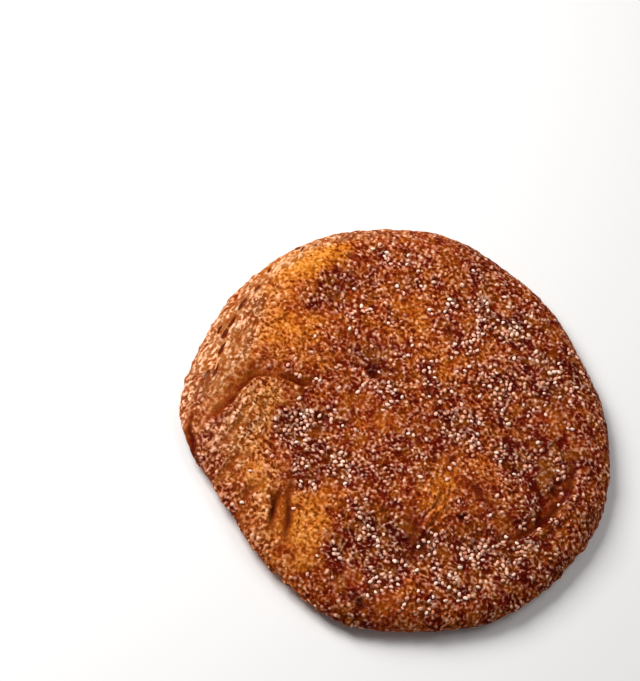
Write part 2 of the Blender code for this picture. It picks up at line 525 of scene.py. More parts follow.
all_x = np.concatenate([face_x, under_x]) - MIDDLE_X
all_y = np.concatenate([face_y, under_y]) - MIDDLE_Y
all_z = np.concatenate([face_z, under_z])
faces = grid_faces(FACE_CELLS, 0).tolist()
faces += grid_faces(UNDER_CELLS, face_count, flip=True).tolist()
faces += seam_faces(grid_border(FACE_CELLS, 0), grid_border(UNDER_CELLS, face_count)).tolist()
crust = new_object("crust", new_mesh("crust", np.stack([all_x, all_y, all_z], axis=1) * MM, faces))
crust.data.shade_smooth()
print(f"blank: {len(crust.data.vertices)} points, {2 * len(faces)} triangles or fewer")

# %% [markdown]
# ## Where the crust is golden or dark
#
# Frying browns the thin raised skin least. The hollows are dark red-brown, partly the syrup's own
# colour and partly painted shade. The patches below say where the crust stayed golden and where it
# went red-brown. This cell and the next ones store six numbers on each point of the mesh, for the
# node trees and the material:
#
# - `fry`, from 0 for dark to 1 for golden
# - `hollow`, how deep in a fold's line, a pit or a furrow the point is, where painted shade darkens it
# - `drawn`, how far the dough was drawn out
# - `grain`, how rough the surface is
# - `painted_sheen`, how much painted pale sheen of the light the skin takes
# - `seeding`, how thickly the seeds lie

# %% Golden and dark patches
# Place, half-width, half-length, direction of the length, and amount.
FRY_PATCHES = (
    (-37, 24.8, 4.5, 8.5, 62, 0.6),
    (-37, 4.7, 4.5, 5, 90, 0.35),
    (-29, 7.7, 5, 3, 0, 0.22),
    (-46, 11.4, 4, 22, 80, 0.42),
    (-43, -13.2, 4, 11, 85, 0.52),
    (-30, -20.3, 4.5, 11, 92, 0.62),
    (-20, -37.3, 4, 8, 108, 0.58),
    (-7, -39.3, 4, 7, 95, 0.56),
    (15, -15.3, 3.2, 8, 88, 0.42),
    (18, -39.2, 5, 4, 20, 0.25),
    (27, -5.3, 3, 7, 0, 0.2),
    (21, -1.3, 3, 4, 60, 0.15),
    (-8, -7.3, 5, 4, 0, 0.18),
    (-14, 21.7, 8, 9, 0, 0.18),
    (-16, 41.8, 5, 8, 15, 0.15),
    (4, 16.7, 3.5, 6, 80, 0.15),
    (25, 15.7, 4, 4, 0, 0.14),
    (44, 0.8, 2.5, 8, 85, 0.18),
    (-29, 17.7, 4, 5, 80, -0.3),
    (-14, 8.7, 3.2, 3.5, 0, -0.4),
    (-20, -15.3, 4, 6, 60, -0.32),
    (-14, -23.3, 3, 4, 60, -0.22),
    (-27, -5.3, 4, 1.6, 15, -0.1),
    (-37, -17.3, 2, 8, 92, -0.25),
    (12, -29.3, 5, 4, 0, -0.55),
    (6, -33.3, 4, 6, 0, -0.25),
    (30, -20.3, 6, 6, 60, -0.22),
    (38, -4.3, 3.5, 9, 78, -0.38),
    (33, 6.7, 7, 5, 0, -0.22),
    (24, 5.7, 3, 3, 0, -0.15),
    (11, -2.3, 7, 2.5, 0, -0.15),
    (27, 28.7, 4, 4, 0, -0.2),
    (13, 32.7, 4, 3.5, 0, -0.12),
    (-1, 26.7, 3, 3, 0, -0.2),
    (11, -47.6, 5, 2, 0, -0.4),
    (-24, -41.6, 3.5, 3.5, 0, -0.25),
    (0, 46.4, 9, 3, 0, -0.14),
    (35, 14.7, 6, 9, 115, -0.12),
    # A painted shade where the lower-left rim curves down, away from the light.
    (-41, -31.6, 2.2, 5, 122, -0.22),
    (0, 20, 12, 14, 0, 0.1),
    (-20, -6, 3, 4, 0, 0.2),
    (-39, -16.3, 1.8, 8, 82, 0.22),
    (-22, 2.7, 5, 6, 0, 0.12),
    (-28, 10.7, 4, 4, 0, 0.18),
    (4, -19.3, 3, 5, 0, 0.14),
    (36, 17.7, 3, 5, 0, 0.22),
    (-1, 28.7, 7, 6, 0, 0.08),
    (24, 13.7, 6, 6, 0, -0.12),
    (-4, -15.3, 4, 5, 0, -0.1),
    (-9, -32.3, 5, 4, 0, 0.12),
    (12, -45.3, 6, 2.5, 0, 0.1),
)
EVEN_FRY = 0.33  # the face where no patch is
UNDER_FRY = 0.34
SLOPE_FRY = 0.54  # the open slopes of the folds


def patches(x, y, rows):
    """Sum of soft elliptical patches, their edges bent by noise."""
    bent_x, bent_y = x + 1.6 * noise(x, y, 4.0, 71), y + 1.6 * noise(x, y, 4.0, 72)
    total = np.zeros_like(x)
    for at_x, at_y, half_width, half_length, direction, amount in rows:
        total += amount * oval(bent_x - at_x, bent_y - at_y, half_width, half_length, direction)[0]
    return total


def fry_of(x, y):
    mottle = 0.10 * noise(x, y, 6.5, 73) + 0.08 * noise(x, y, 2.4, 74)
    return np.clip(EVEN_FRY + patches(x, y, FRY_PATCHES) + mottle, 0, 1)


x_mm, y_mm = all_x + MIDDLE_X, all_y + MIDDLE_Y
on_face = np.arange(len(all_x)) < face_count
fry = np.where(on_face, fry_of(x_mm, y_mm), UNDER_FRY + 0.16 * noise(x_mm, y_mm, 8.0, 75))
pad = np.zeros(len(under_x))
slope = np.concatenate([on_slope, pad])
fry = fry + (SLOPE_FRY - fry) * 0.8 * slope
store(crust.data, "fry", fry)
store(crust.data, "hollow", np.concatenate([hollow, pad]))
print(f"fry: mean {fry.mean():.2f}, from {fry.min():.2f} to {fry.max():.2f}")

# %% [markdown]
# ## Painted sheen, and where the dough was drawn out
#
# On the left side the rim is drawn out and split into small dark slits, and its skin is painted
# pale as a sheen of the light on it. It follows the outline, so it is given by directions and by how
# far in it reaches. The other places are soft patches like those for the browning. Drawn-out dough
# has longer grains, and dough that was pressed against the ladle is smoother.

# %% The left rim, drawn out and painted with sheen
# Angle and half-angle of a stretch of the rim, how far in it reaches, and amount.
LEFT_RIM = (
    (152, 20, 3.6, 1),
    (190, 12, 9.5, 1),
)


def rim_patches(x, y, rows):
    angle, total = np.arctan2(y, x), np.zeros_like(x)
    within = outline_radius(angle) - np.hypot(x, y)
    for at, half_angle, reach, amount in rows:
        near_edge = smooth_step(1.3 * reach, 0.7 * reach, within)
        total += amount * bell(degrees_apart(angle, at), half_angle) * near_edge
    return np.clip(total, 0, 1)


left_rim = rim_patches(x_mm, y_mm, LEFT_RIM)

# %% Stretched places
STRETCHED_PATCHES = (
    (-31, -20, 4.5, 10, 93, 0.55),
    (-44, -6, 4, 10, 84, 0.5),
    (-42, 19, 3, 9, 62, 0.4),
    (15, -15, 3.4, 8, 84, 0.6),
    (-6, -38, 3, 6, 92, 0.2),
)
stretched = np.clip(patches(x_mm, y_mm, STRETCHED_PATCHES) + 0.9 * left_rim, 0, 1)
store(crust.data, "drawn", np.where(on_face, stretched, 0))

# %% Rough and smooth places
SMOOTH_PATCHES = (
    (-37, 24.8, 4.5, 8, 62, 0.15),
    (-35, 4.7, 4.5, 5, 90, 0.1),
    (-6, -39.3, 3.6, 6.5, 92, 0.12),
    (12, -44.2, 4, 11, 5, 0.35),
    (-7, -6.3, 4, 3, 0, 0.35),
    (17, -8.3, 3, 4, 0, 0.3),
    (27, 15.7, 4, 3.5, 0, 0.35),
    (33, 5.7, 4, 3, 0, 0.3),
    (-15, 44.4, 4, 10, 5, 0.35),
    (-45, 15.4, 4, 14, 80, 0.1),
    (-38.6, -16.3, 1.4, 8, 82, 0.45),
)
calm = 0.28 * smooth_step(-0.1, 0.6, noise(x_mm, y_mm, 4.2, 78)) * (1 - stretched)
grain = np.clip(1.0 - patches(x_mm, y_mm, SMOOTH_PATCHES) - calm, 0.25, 1)
grain = grain * (1 - 0.75 * slope) * (1 - 0.38 * left_rim)
UNDER_GRAIN = 0.8
store(crust.data, "grain", np.where(on_face, grain, UNDER_GRAIN))

# %% Painted pale sheen where the skin faces the light
SHEEN_PATCHES = (
    (-45.5, -1.2, 3, 13, 88, 0.6),
    (-43, -14.2, 3.2, 8, 85, 0.45),
    (-31, -19.3, 3.5, 9, 92, 0.5),
    (-33, -28.2, 4, 6, 100, 0.4),
    (-27, -36.2, 3, 5, 110, 0.3),
    (-18, -38.3, 3, 8, 108, 0.38),
    (-8, -39.3, 2, 6, 95, 0.15),
)
painted_sheen = patches(x_mm, y_mm, SHEEN_PATCHES) * (1 - 0.9 * slope) + left_rim
painted_sheen = np.clip(painted_sheen * (1 + 0.4 * noise(x_mm, y_mm, 1.7, 76)), 0, 1)
store(crust.data, "painted_sheen", np.where(on_face, painted_sheen, 0))

# %% [markdown]
# ## Where the seeds lie
#
# A few seeds lie all over the face but on its left side, and most of them lie in groups. Noise
# breaks the groups up into clumps with bare dough between them. The golden skin stood highest when
# the sweet was rolled in seeds and lost nearly all of them.

# %% Seeded places
SEED_PATCHES = (
    (0, 35.7, 2.2, 4, 160, 0.9),
    (13, 32.7, 3.2, 6.5, 10, 1),
    (5, 24.7, 2.5, 3, 0, 0.7),
    (26, 31.8, 2.5, 3.5, 60, 0.7),
    (15, 19.7, 2.5, 5, 165, 0.5),
    (-9, 6.2, 1.2, 3.5, -25, 0.9),
    (1, 11.7, 1.6, 5, -65, 0.5),
    (17, 9.7, 2, 4.5, 20, 0.4),
    (24, 5.7, 2, 3, 0, 0.4),
    (13, 1.7, 2, 4.5, -25, 0.4),
    (-22, -14.3, 2.8, 5.5, 80, 0.62),
    (-9, -18.3, 2.4, 2.6, 0, 1),
    (-13, -23.3, 2.2, 3.2, 60, 0.4),
    (3, -30.3, 2, 3.6, -30, 0.9),
    (3, -37.3, 2, 4, 85, 0.8),
    (12, -38.3, 2.6, 3, 30, 0.8),
    (21, -28.3, 3, 4, 60, 0.65),
    (30, -21.3, 3, 5.5, 60, 0.4),
    (34, -18.3, 3, 4, 60, 0.5),
    (27, -36.2, 2.5, 5, 60, 0.7),
    (-21, 35.8, 2.2, 2.6, 0, 0.5),
    (-13, 31.7, 2.5, 4, 90, 0.3),
    (-16, 20.7, 4, 4, 0, 0.25),
    (38, 5.7, 2, 3, 90, 0.4),
    (-6, 27.7, 4, 4, 0, 0.25),
    (-28, 16.7, 4, 5, 0, 0.12),
)
EVEN_SEEDING = 0.12
radius_mm = np.hypot(x_mm, y_mm)
spread = EVEN_SEEDING * smooth_step(-33, -20, x_mm) * smooth_step(49, 44, radius_mm)
thick = patches(x_mm, y_mm, SEED_PATCHES) * smooth_step(50, 46, radius_mm)
clumps = 0.08 + 1.50 * smooth_step(-0.20, 0.40, noise(x_mm, y_mm, 2.9, 77))
seeding = np.clip((spread + thick) * clumps * (1 - 0.9 * smooth_step(0.5, 0.75, fry)), 0, 0.8)
store(crust.data, "seeding", np.where(on_face, seeding, 0))

# %% [markdown]
# ## Node trees from code
#
# Geometry Nodes are good at what repeats. The trees here are built by the script, and small helpers
# keep that short. One adds a node and fills its inputs with numbers or links, a few do arithmetic,
# and one opens a tree with named inputs. A modifier finds an input by its identifier, such as
# Socket_2, so the last helper looks it up from the name, runs the tree and keeps the result as a
# plain mesh.

# %% Helpers for node trees
def plug(tree, socket, value):
    if isinstance(value, bpy.types.NodeSocket):
        tree.links.new(value, socket)
    else:
        socket.default_value = value


def fill(tree, node, inputs):
    for name, value in inputs.items():
        plug(tree, node.inputs[name], value)


def add(tree, kind, inputs=None, **settings):
    """Adds a node. settings are its properties. inputs are values or links, by name or number."""
    node = tree.nodes.new(kind)
    for name, value in settings.items():
        setattr(node, name, value)
    fill(tree, node, inputs or {})
    return node


def math_of(tree, operation, *values, clamp=False):
    ends = dict(enumerate(values))
    return add(tree, "ShaderNodeMath", ends, operation=operation, use_clamp=clamp).outputs[0]


def times(tree, first, *others):
    for value in others:
        first = math_of(tree, "MULTIPLY", first, value)
    return first


def plus(tree, total, value, weight, clamp=False):
    """total plus weight times value."""
    return math_of(tree, "MULTIPLY_ADD", value, weight, total, clamp=clamp)


def vector_of(tree, operation, *values):
    return add(tree, "ShaderNodeVectorMath", dict(enumerate(values)), operation=operation).outputs[0]


def attribute_of(tree, name):
    node = add(tree, "GeometryNodeInputNamedAttribute", {"Name": name}, data_type="FLOAT")
    return node.outputs["Attribute"]


def new_tree(name, numbers):
    """A geometry tree with a mesh going in and out, and named number inputs."""
    tree = bpy.data.node_groups.new(name, "GeometryNodeTree")
    tree.interface.new_socket("Mesh", in_out="INPUT", socket_type="NodeSocketGeometry")
    tree.interface.new_socket("Mesh", in_out="OUTPUT", socket_type="NodeSocketGeometry")
    for label in numbers:
        tree.interface.new_socket(label, in_out="INPUT", socket_type="NodeSocketFloat")
    given, out = tree.nodes.new("NodeGroupInput"), tree.nodes.new("NodeGroupOutput")
    return tree, given.outputs, out.inputs["Mesh"]


def run_tree(obj, tree, numbers, name):
    """Runs a tree on an object and returns the result as a new plain mesh."""
    modifier = obj.modifiers.new(tree.name, "NODES")
    modifier.node_group = tree
    for item in tree.interface.items_tree:
        if item.in_out == "INPUT" and item.name in numbers:
            modifier[item.identifier] = float(numbers[item.name])
    evaluated = obj.evaluated_get(bpy.context.evaluated_depsgraph_get())
    mesh = bpy.data.meshes.new_from_object(evaluated)
    mesh.name = name
    obj.modifiers.remove(modifier)
    return mesh


# %% [markdown]
# ## Seeds find their places
#
# The seeds were rolled onto the raw dough, so they come before the fine grain: each one pushed a
# small pocket into it. Distribute Points on Faces throws the points, thickly where `seeding` is high
# and never closer than about a seed's width. The result is a mesh of loose points, which the next
# trees read.

# %% Tree that throws the seeds
SEED_SPACING = 0.92
SEEDS_PER_MM2 = 1.10


def seed_spot_tree():
    tree, given, out = new_tree("seed_spots", ["Spacing", "Thickest"])
    throwing = {
        "Mesh": given["Mesh"],
        "Distance Min": given["Spacing"],
        "Density Max": given["Thickest"],
        "Density Factor": attribute_of(tree, "seeding"),
        "Seed": 7,
    }
    thrown = add(tree, "GeometryNodeDistributePointsOnFaces", throwing, distribute_method="POISSON")
    loose = add(tree, "GeometryNodePointsToVertices", {"Points": thrown.outputs["Points"]})
    plug(tree, out, loose.outputs["Mesh"])
    return tree


spot_sizes = {"Spacing": SEED_SPACING * MM, "Thickest": SEEDS_PER_MM2 / MM**2}
seed_spots = new_object("seed_spots", run_tree(crust, seed_spot_tree(), spot_sizes, "seed_spots"))
seed_spots.hide_render = True
print(f"{len(seed_spots.data.vertices)} seeds thrown")

# %% [markdown]
# ## The grain of the crust
#
# Fried rice flour is crusted all over with grains and burst bubbles about a millimetre across. Cells
# from a Voronoi texture make the grains: each is a small dome, and dark gaps are left between them.
# There are round ones of two sizes, and longer ones where the dough was drawn out. Soft noise joins
# some of them up into crumbs or streaks, and faint curls run wherever another noise crosses its
# middle value. Long thin cells open into slits where the dough is drawn out most. The same function
# builds these nodes in the geometry tree, which raises the grains, and later in the material, which
# colours them more sharply than the mesh could, so the two always agree.

# %% Grains for both kinds of tree
# Each kind of grain: mm from one to the next, how far one reaches in its cell, and the random number
# under which a cell stays empty.
LARGE_GRAINS = (1.30, 0.52, 0.10)
SMALL_GRAINS = (1.00, 0.50, 0.25)
LONG_GRAINS = (1.30, 0.60, 0.10)
SMALL_ASIDE = (3.3, 7.1, 0.0)  # keeps the small grains' cells from lining up with the large ones'
DRAWN = (1.45, 0.65, 1.0)  # how grains are squeezed along X and Y where the dough was drawn out along Y
# Heights of the grains' relief, where the tallest large grain is 1.
SMALL_HEIGHT = 0.72
STROKE_SIZE, STROKE_HEIGHT = 0.85, 0.34
CURL_SIZE, CURL_HEIGHT, CURL_REACH = 1.15, 0.18, 0.15
SLIT_SIZE = 2.2
SLIT_SHAPE = (1.70, 0.45, 1.0)
WIDEST_SLIT, SLIT_BIAS, SLIT_EDGE = 0.75, -0.20, 10.0


def between(tree, low_end, high_end, value, how="LINEAR"):
    """Goes from 0 to 1 while value goes from low_end to high_end."""
    ends = {"Value": value, "From Min": low_end, "From Max": high_end}
    return add(tree, "ShaderNodeMapRange", ends, interpolation_type=how).outputs[0]


def soft_noise(tree, place, size, detail=1.0):
    """Noise with features of about that size."""
    return add(tree, "ShaderNodeTexNoise", {"Vector": place, "Scale": 1 / size, "Detail": detail}).outputs


def cells_of(tree, place, size):
    """Distance from the middle of the nearest cell, in cells, and that cell's random number."""
    cells = add(tree, "ShaderNodeTexVoronoi", {"Vector": place, "Scale": 1 / size}, feature="F1")
    chance = add(tree, "ShaderNodeSeparateXYZ", {"Vector": cells.outputs["Color"]}).outputs[0]
    return cells.outputs["Distance"], chance


def domes(tree, place, size, reach, lowest):
    """Soft domes that stand apart. Cells whose random number is under the lowest have none."""
    distance, chance = cells_of(tree, place, size)
    dome = between(tree, reach, 0.0, distance, "SMOOTHSTEP")
    return times(tree, dome, between(tree, lowest, 1.0, chance))


def blend(tree, share, first, second):
    """The first number turning into the second as share goes from 0 to 1."""
    return plus(tree, first, math_of(tree, "SUBTRACT", second, first), share)


def grain_pattern(tree, place, drawn):
    """Grain height from 0 to 1, how deep in a slit, and the bent place in mm."""
    in_mm = vector_of(tree, "DIVIDE", place, (MM, MM, MM))
    slow = soft_noise(tree, in_mm, 4.5)["Color"]
    quick = soft_noise(tree, in_mm, 1.0)["Color"]
    bent = vector_of(tree, "MULTIPLY_ADD", slow, (1.2, 1.2, 1.2), in_mm)
    bent = vector_of(tree, "MULTIPLY_ADD", quick, (0.3, 0.3, 0.3), bent)
    long = vector_of(tree, "MULTIPLY", bent, DRAWN)
    aside = vector_of(tree, "ADD", bent, SMALL_ASIDE)
    small = times(tree, domes(tree, aside, *SMALL_GRAINS), SMALL_HEIGHT)
    grain = math_of(tree, "MAXIMUM", domes(tree, bent, *LARGE_GRAINS), small)
    grain = blend(tree, times(tree, drawn, 0.6), grain, domes(tree, long, *LONG_GRAINS))
    crumb, streak = (soft_noise(tree, where, STROKE_SIZE, 0.0)["Fac"] for where in (bent, long))
    stroke = between(tree, 0.30, 0.72, blend(tree, drawn, crumb, streak))
    height = plus(tree, grain, stroke, STROKE_HEIGHT)
    winding = math_of(tree, "SUBTRACT", soft_noise(tree, aside, CURL_SIZE, 0.0)["Fac"], 0.5)
    curl = between(tree, CURL_REACH, 0.0, math_of(tree, "ABSOLUTE", winding), "SMOOTHSTEP")
    height = plus(tree, height, curl, CURL_HEIGHT)
    distance, chance = cells_of(tree, vector_of(tree, "MULTIPLY", bent, SLIT_SHAPE), SLIT_SIZE)
    widest = plus(tree, SLIT_BIAS, chance, WIDEST_SLIT)
    inside = math_of(tree, "SUBTRACT", widest, distance)
    slit = times(tree, math_of(tree, "MULTIPLY", inside, SLIT_EDGE, clamp=True), drawn)
    return height, slit, bent


# %% [markdown]
# ## Blisters and pockets
#
# Larger cells make blisters, of which only some are raised. The pockets under the seeds are measured
# with Geometry Proximity. The tree moves each point along its normal. It also keeps each point's
# first place, for the material to find the same grains again. At its end it gives the crust its
# material, which is still plain here and is coloured further down.

# %% Tree that makes the grain
CRUST_SIZES = {
    "Grain height": 0.32 * MM,
    "Slit depth": 0.30 * MM,
    "Blister height": 0.32 * MM,
    "Pocket depth": 0.26 * MM,
    "Pocket radius": 1.20 * MM,
}
BLISTER_SIZE, BLISTER_REACH = 2.7, 0.62
MEAN_RISE = 0.2 * MM


def new_material(name):
    """A new material and its surface shader."""
    material = bpy.data.materials.new(name)
    material.use_nodes = True
    return material, material.node_tree.nodes["Principled BSDF"]


def keep(tree, mesh, name, value, kind="FLOAT"):
    kept = {"Geometry": mesh, "Name": name, "Value": value}
    return add(tree, "GeometryNodeStoreNamedAttribute", kept, data_type=kind, domain="POINT").outputs[0]


def shape_of(tree, obj):
    return add(tree, "GeometryNodeObjectInfo", {"Object": obj}).outputs["Geometry"]


def scaled(tree, vector, amount):
    return add(tree, "ShaderNodeVectorMath", {0: vector, "Scale": amount}, operation="SCALE").outputs[0]


def real_and_finished(tree, mesh, finish):
    """How a tree ends: its instances made real, and its material set."""
    real = add(tree, "GeometryNodeRealizeInstances", {"Geometry": mesh}).outputs[0]
    return add(tree, "GeometryNodeSetMaterial", {"Geometry": real, "Material": finish}).outputs[0]


def crust_tree(finish):
    tree, given, out = new_tree("crust_grain", CRUST_SIZES)
    place = add(tree, "GeometryNodeInputPosition").outputs[0]
    normal = add(tree, "GeometryNodeInputNormal").outputs[0]
    rough = attribute_of(tree, "grain")
    grain, slit, bent = grain_pattern(tree, place, attribute_of(tree, "drawn"))
    cut = times(tree, slit, given["Slit depth"])
    grain_rise = math_of(tree, "SUBTRACT", times(tree, grain, given["Grain height"]), cut)
    distance, chance = cells_of(tree, bent, BLISTER_SIZE)
    bubble = between(tree, BLISTER_REACH, 0.0, distance, "SMOOTHSTEP")
    raised = plus(tree, -0.8, chance, 1.8)  # from a dent to a full blister
    blister_rise = times(tree, bubble, raised, given["Blister height"])
    spots = shape_of(tree, seed_spots)
    near = add(tree, "GeometryNodeProximity", {"Geometry": spots}, target_element="POINTS")
    away = math_of(tree, "DIVIDE", near.outputs["Distance"], given["Pocket radius"])
    pocket = math_of(tree, "SUBTRACT", 1.0, away, clamp=True)
    rise = times(tree, math_of(tree, "ADD", grain_rise, blister_rise), rough)
    move = math_of(tree, "SUBTRACT", rise, times(tree, pocket, given["Pocket depth"]))
    # The pocket is also kept for the material, which darkens the dough around each seed as a painted
    # shadow.
    mesh = keep(tree, given["Mesh"], "pocket", pocket)
    mesh = keep(tree, mesh, "first_place", place, "FLOAT_VECTOR")
    offset = scaled(tree, normal, math_of(tree, "SUBTRACT", move, MEAN_RISE))
    moved = add(tree, "GeometryNodeSetPosition", {"Geometry": mesh, "Offset": offset}).outputs[0]
    plug(tree, out, real_and_finished(tree, moved, finish))
    return tree


crust_finish, crust_surface = new_material("fried_crust")
crust.data = run_tree(crust, crust_tree(crust_finish), CRUST_SIZES, "crust_grained")

# %% Flatten what the sweet rests on
points = np.empty(len(crust.data.vertices) * 3, np.float32)
crust.data.vertices.foreach_get("co", points)
points = points.reshape(-1, 3)
resting = points[:, 2] < 0
points[resting, 2] = 0
crust.data.vertices.foreach_set("co", points.ravel())
crust.data.update()
print(f"crust: up to {points[:, 2].max() / MM:.2f} mm high, rests on {resting.mean():.1%} of its points")

# %% [markdown]
# ## Poppy seeds
#
# A poppy seed is a kidney about a millimetre long. One is modelled from an icosphere of 80 faces:
# it is stretched, bent over and flattened. It is placed a few hundred times, so it has no more faces
# than that.

# %% One seed
SEED_LENGTH = 1.20
SEED_WIDTH = 0.84
SEED_THICKNESS = 0.68
SEED_BEND = 0.64  # how far the kidney's ends bend over


def seed_mesh():
    bm = bmesh.new()
    bmesh.ops.create_icosphere(bm, subdivisions=2, radius=0.5)
    for vert in bm.verts:
        x, y, z = vert.co
        bent_y = y - SEED_BEND * x * x
        vert.co = Vector((x * SEED_LENGTH, bent_y * SEED_WIDTH, z * SEED_THICKNESS)) * MM
    mesh = bpy.data.meshes.new("seed")
    bm.to_mesh(mesh)
    bm.free()
    mesh.shade_smooth()
    return mesh


seed = new_object("seed", seed_mesh())
seed.hide_render = True
print(f"one seed: {len(seed.data.polygons)} faces")

# %% [markdown]
# ## Seeds on the crust
#
# Each spot is first dropped onto the finished crust with a raycast from above. The seed is then laid
# along the surface there, spun and scaled at random and sunk by part of its thickness. A random
# number is kept on every seed for the material, because no two are quite the same colour.

# %% Tree that lays the seeds
SEED_SIZES = {"Smallest": 0.78, "Largest": 1.12, "Lift": 0.10 * MM}
SEED_TILT = 0.55  # radians, either way
DROP_FROM, DROP_REACH = 5 * MM, 12 * MM


def random_of(tree, kind, lowest, highest, seed):
    """A random number or vector for each point."""
    ends = {"Min": lowest, "Max": highest, "Seed": seed}
    node = add(tree, "FunctionNodeRandomValue", ends, data_type=kind)
    return next(socket for socket in node.outputs if socket.enabled)


def seed_tree(finish):
    tree, given, out = new_tree("laid_seeds", SEED_SIZES)
    place = add(tree, "GeometryNodeInputPosition").outputs[0]
    drop = {
        "Target Geometry": shape_of(tree, crust),
        "Source Position": vector_of(tree, "ADD", place, (0.0, 0.0, DROP_FROM)),
        "Ray Direction": (0, 0, -1),
        "Ray Length": DROP_REACH,
    }
    hit = add(tree, "GeometryNodeRaycast", drop, mapping="INTERPOLATED").outputs
    points = add(tree, "GeometryNodeMeshToPoints", {"Mesh": given["Mesh"]}).outputs[0]
    lift = scaled(tree, hit["Hit Normal"], given["Lift"])
    seat = vector_of(tree, "ADD", hit["Hit Position"], lift)
    points = add(tree, "GeometryNodeSetPosition", {"Geometry": points, "Position": seat}).outputs[0]
    points = keep(tree, points, "tone", random_of(tree, "FLOAT", 0.0, 1.0, 5))
    upright = add(tree, "FunctionNodeAlignRotationToVector", {"Vector": hit["Hit Normal"]}, axis="Z")
    least, most = (-SEED_TILT, -SEED_TILT, 0.0), (SEED_TILT, SEED_TILT, math.tau)
    turn = {"Rotation": upright.outputs[0], "Rotate By": random_of(tree, "FLOAT_VECTOR", least, most, 3)}
    spun = add(tree, "FunctionNodeRotateRotation", turn, rotation_space="LOCAL").outputs[0]
    laying = {
        "Points": points,
        "Instance": shape_of(tree, seed),
        "Rotation": spun,
        "Scale": random_of(tree, "FLOAT", given["Smallest"], given["Largest"], 4),
    }
    laid = add(tree, "GeometryNodeInstanceOnPoints", laying).outputs[0]
    plug(tree, out, real_and_finished(tree, laid, finish))
    return tree


# %% [markdown]
# ## The seeds' material
#
# White poppy seeds are cream coloured, a little translucent and hardly shiny. Frying turned them
# pinkish and browned some of them. The random `tone` picks each seed's colour, and a fine bump stands
# for the net of ribs on its skin.

# %% Seed material
def srgb(red, green, blue):
    """A colour as a paint program shows it, 0 to 255, as the linear values that Blender uses."""
    shares = np.array([red, green, blue]) / 255
    linear = np.where(shares <= 0.04045, shares / 12.92, ((shares + 0.055) / 1.055) ** 2.4)
    return (*(float(value) for value in linear), 1.0)


def ramp(tree, share, stops):
    node = add(tree, "ShaderNodeValToRGB", {"Fac": share})
    elements = node.color_ramp.elements
    while len(elements) < len(stops):
        elements.new(0.5)
    for element, (place, color) in zip(elements, stops):
        element.position, element.color = place, color
    return node.outputs["Color"]


def stored(tree, name, output="Fac"):
    """What the mesh keeps under that name, for a material."""
    return add(tree, "ShaderNodeAttribute", attribute_name=name).outputs[output]


SEED_COLORS = (
    (0.00, srgb(204, 124, 94)),
    (0.30, srgb(236, 168, 140)),
    (0.65, srgb(250, 200, 174)),
    (1.00, srgb(255, 222, 202)),
)
RIB_SIZE = 0.16 * MM


def bump(tree, height, strength, distance, **more):
    ends = {"Height": height, "Strength": strength, "Distance": distance, **more}
    return add(tree, "ShaderNodeBump", ends).outputs[0]


def seed_material():
    material, surface = new_material("poppy_seed")
    tree = material.node_tree
    place = add(tree, "ShaderNodeTexCoord").outputs["Object"]
    ribs = soft_noise(tree, place, RIB_SIZE, 2.0)["Fac"]
    looks = {
        "Base Color": ramp(tree, stored(tree, "tone"), SEED_COLORS),
        "Roughness": 0.55,
        "Specular IOR Level": 0.15,
        "Subsurface Weight": 0.15,
        "Subsurface Radius": (0.5 * MM, 0.3 * MM, 0.2 * MM),
        "Normal": bump(tree, ribs, 0.35, 0.05 * MM),
    }
    fill(tree, surface, looks)
    return material


laid_seeds = run_tree(seed_spots, seed_tree(seed_material()), SEED_SIZES, "poppy_seeds")
seeds = new_object("poppy_seeds", laid_seeds)
for helper in (seed_spots, seed):
    bpy.data.objects.remove(helper)
print(f"seeds: {sum(len(face.vertices) - 2 for face in seeds.data.polygons)} triangles")

# %% [markdown]
# ## The crust's material
#
# The crust's colour follows how it fried: dark red-brown in the hollows and between the grains,
# orange-brown on most of the face and golden where the skin puffed up. The dark in the hollows and
# between the grains is partly painted shade. The stored numbers say which, and noise breaks them up.
# The tops of the grains are lighter, pinkish on the brown crust and amber on the golden one, and
# partly painted highlights: the crust has almost no gloss of its own, and its oily glints are painted
# into these tops. A pale painted sheen shows between them where the skin faces the light, and a
# painted shadow darkens the dough around the seeds. A bump of about a fifth of a millimetre stands
# for what is finer than the mesh. The first cell gathers all the numbers, the next two colour the skin
# and the grains, and the last one fills in the shader.

# %% What the colour depends on
STORED = ("fry", "hollow", "drawn", "grain", "painted_sheen", "seeding", "pocket")
SPECK_SIZE, MOTTLE_SIZE, TINT_SIZE = 0.32, 2.2, 3.2


def crust_numbers(tree):
    """The numbers that the crust's colour and bump depend on, by name."""
    on = {name: stored(tree, name) for name in STORED}
    place = stored(tree, "first_place", "Vector")
    on["height"], on["slit"], bent = grain_pattern(tree, place, on["drawn"])
    on["rough"] = times(tree, on["grain"], between(tree, 0.9, 0.0, on["hollow"]))
    on["speck"] = soft_noise(tree, bent, SPECK_SIZE, 2.0)["Fac"]
    on["mottle"] = soft_noise(tree, bent, MOTTLE_SIZE, 3.0)["Fac"]
    on["tint"] = soft_noise(tree, place, TINT_SIZE * MM, 2.0)["Fac"]
    return on


def mixed(tree, share, first, second):
    """The first colour turning into the second as share goes from 0 to 1."""
    ends = {"Factor": share, "A": first, "B": second}
    return add(tree, "ShaderNodeMix", ends, data_type="RGBA").outputs["Result"]


def about(tree, total, value, middle, weight):
    """total plus weight times how far value is from its middle."""
    return plus(tree, total, math_of(tree, "SUBTRACT", value, middle), weight)


# %% The skin's colour
SKIN_COLORS = (
    (0.00, srgb(76, 10, 2)),
    (0.25, srgb(116, 28, 6)),
    (0.45, srgb(152, 58, 12)),
    (0.65, srgb(182, 86, 18)),
    (0.85, srgb(206, 112, 24)),
    (1.00, srgb(220, 136, 46)),
)
GOLDEN_TINT = srgb(186, 102, 16)
# A pale tan painted in as the sheen of the light on the skin.
PAINTED_SHEEN_COLOR = srgb(224, 166, 118)
# The dark at a fold's bottom: partly the syrup's own colour, partly painted shade.
SHADED_FOLD_BOTTOM = srgb(66, 6, 1)


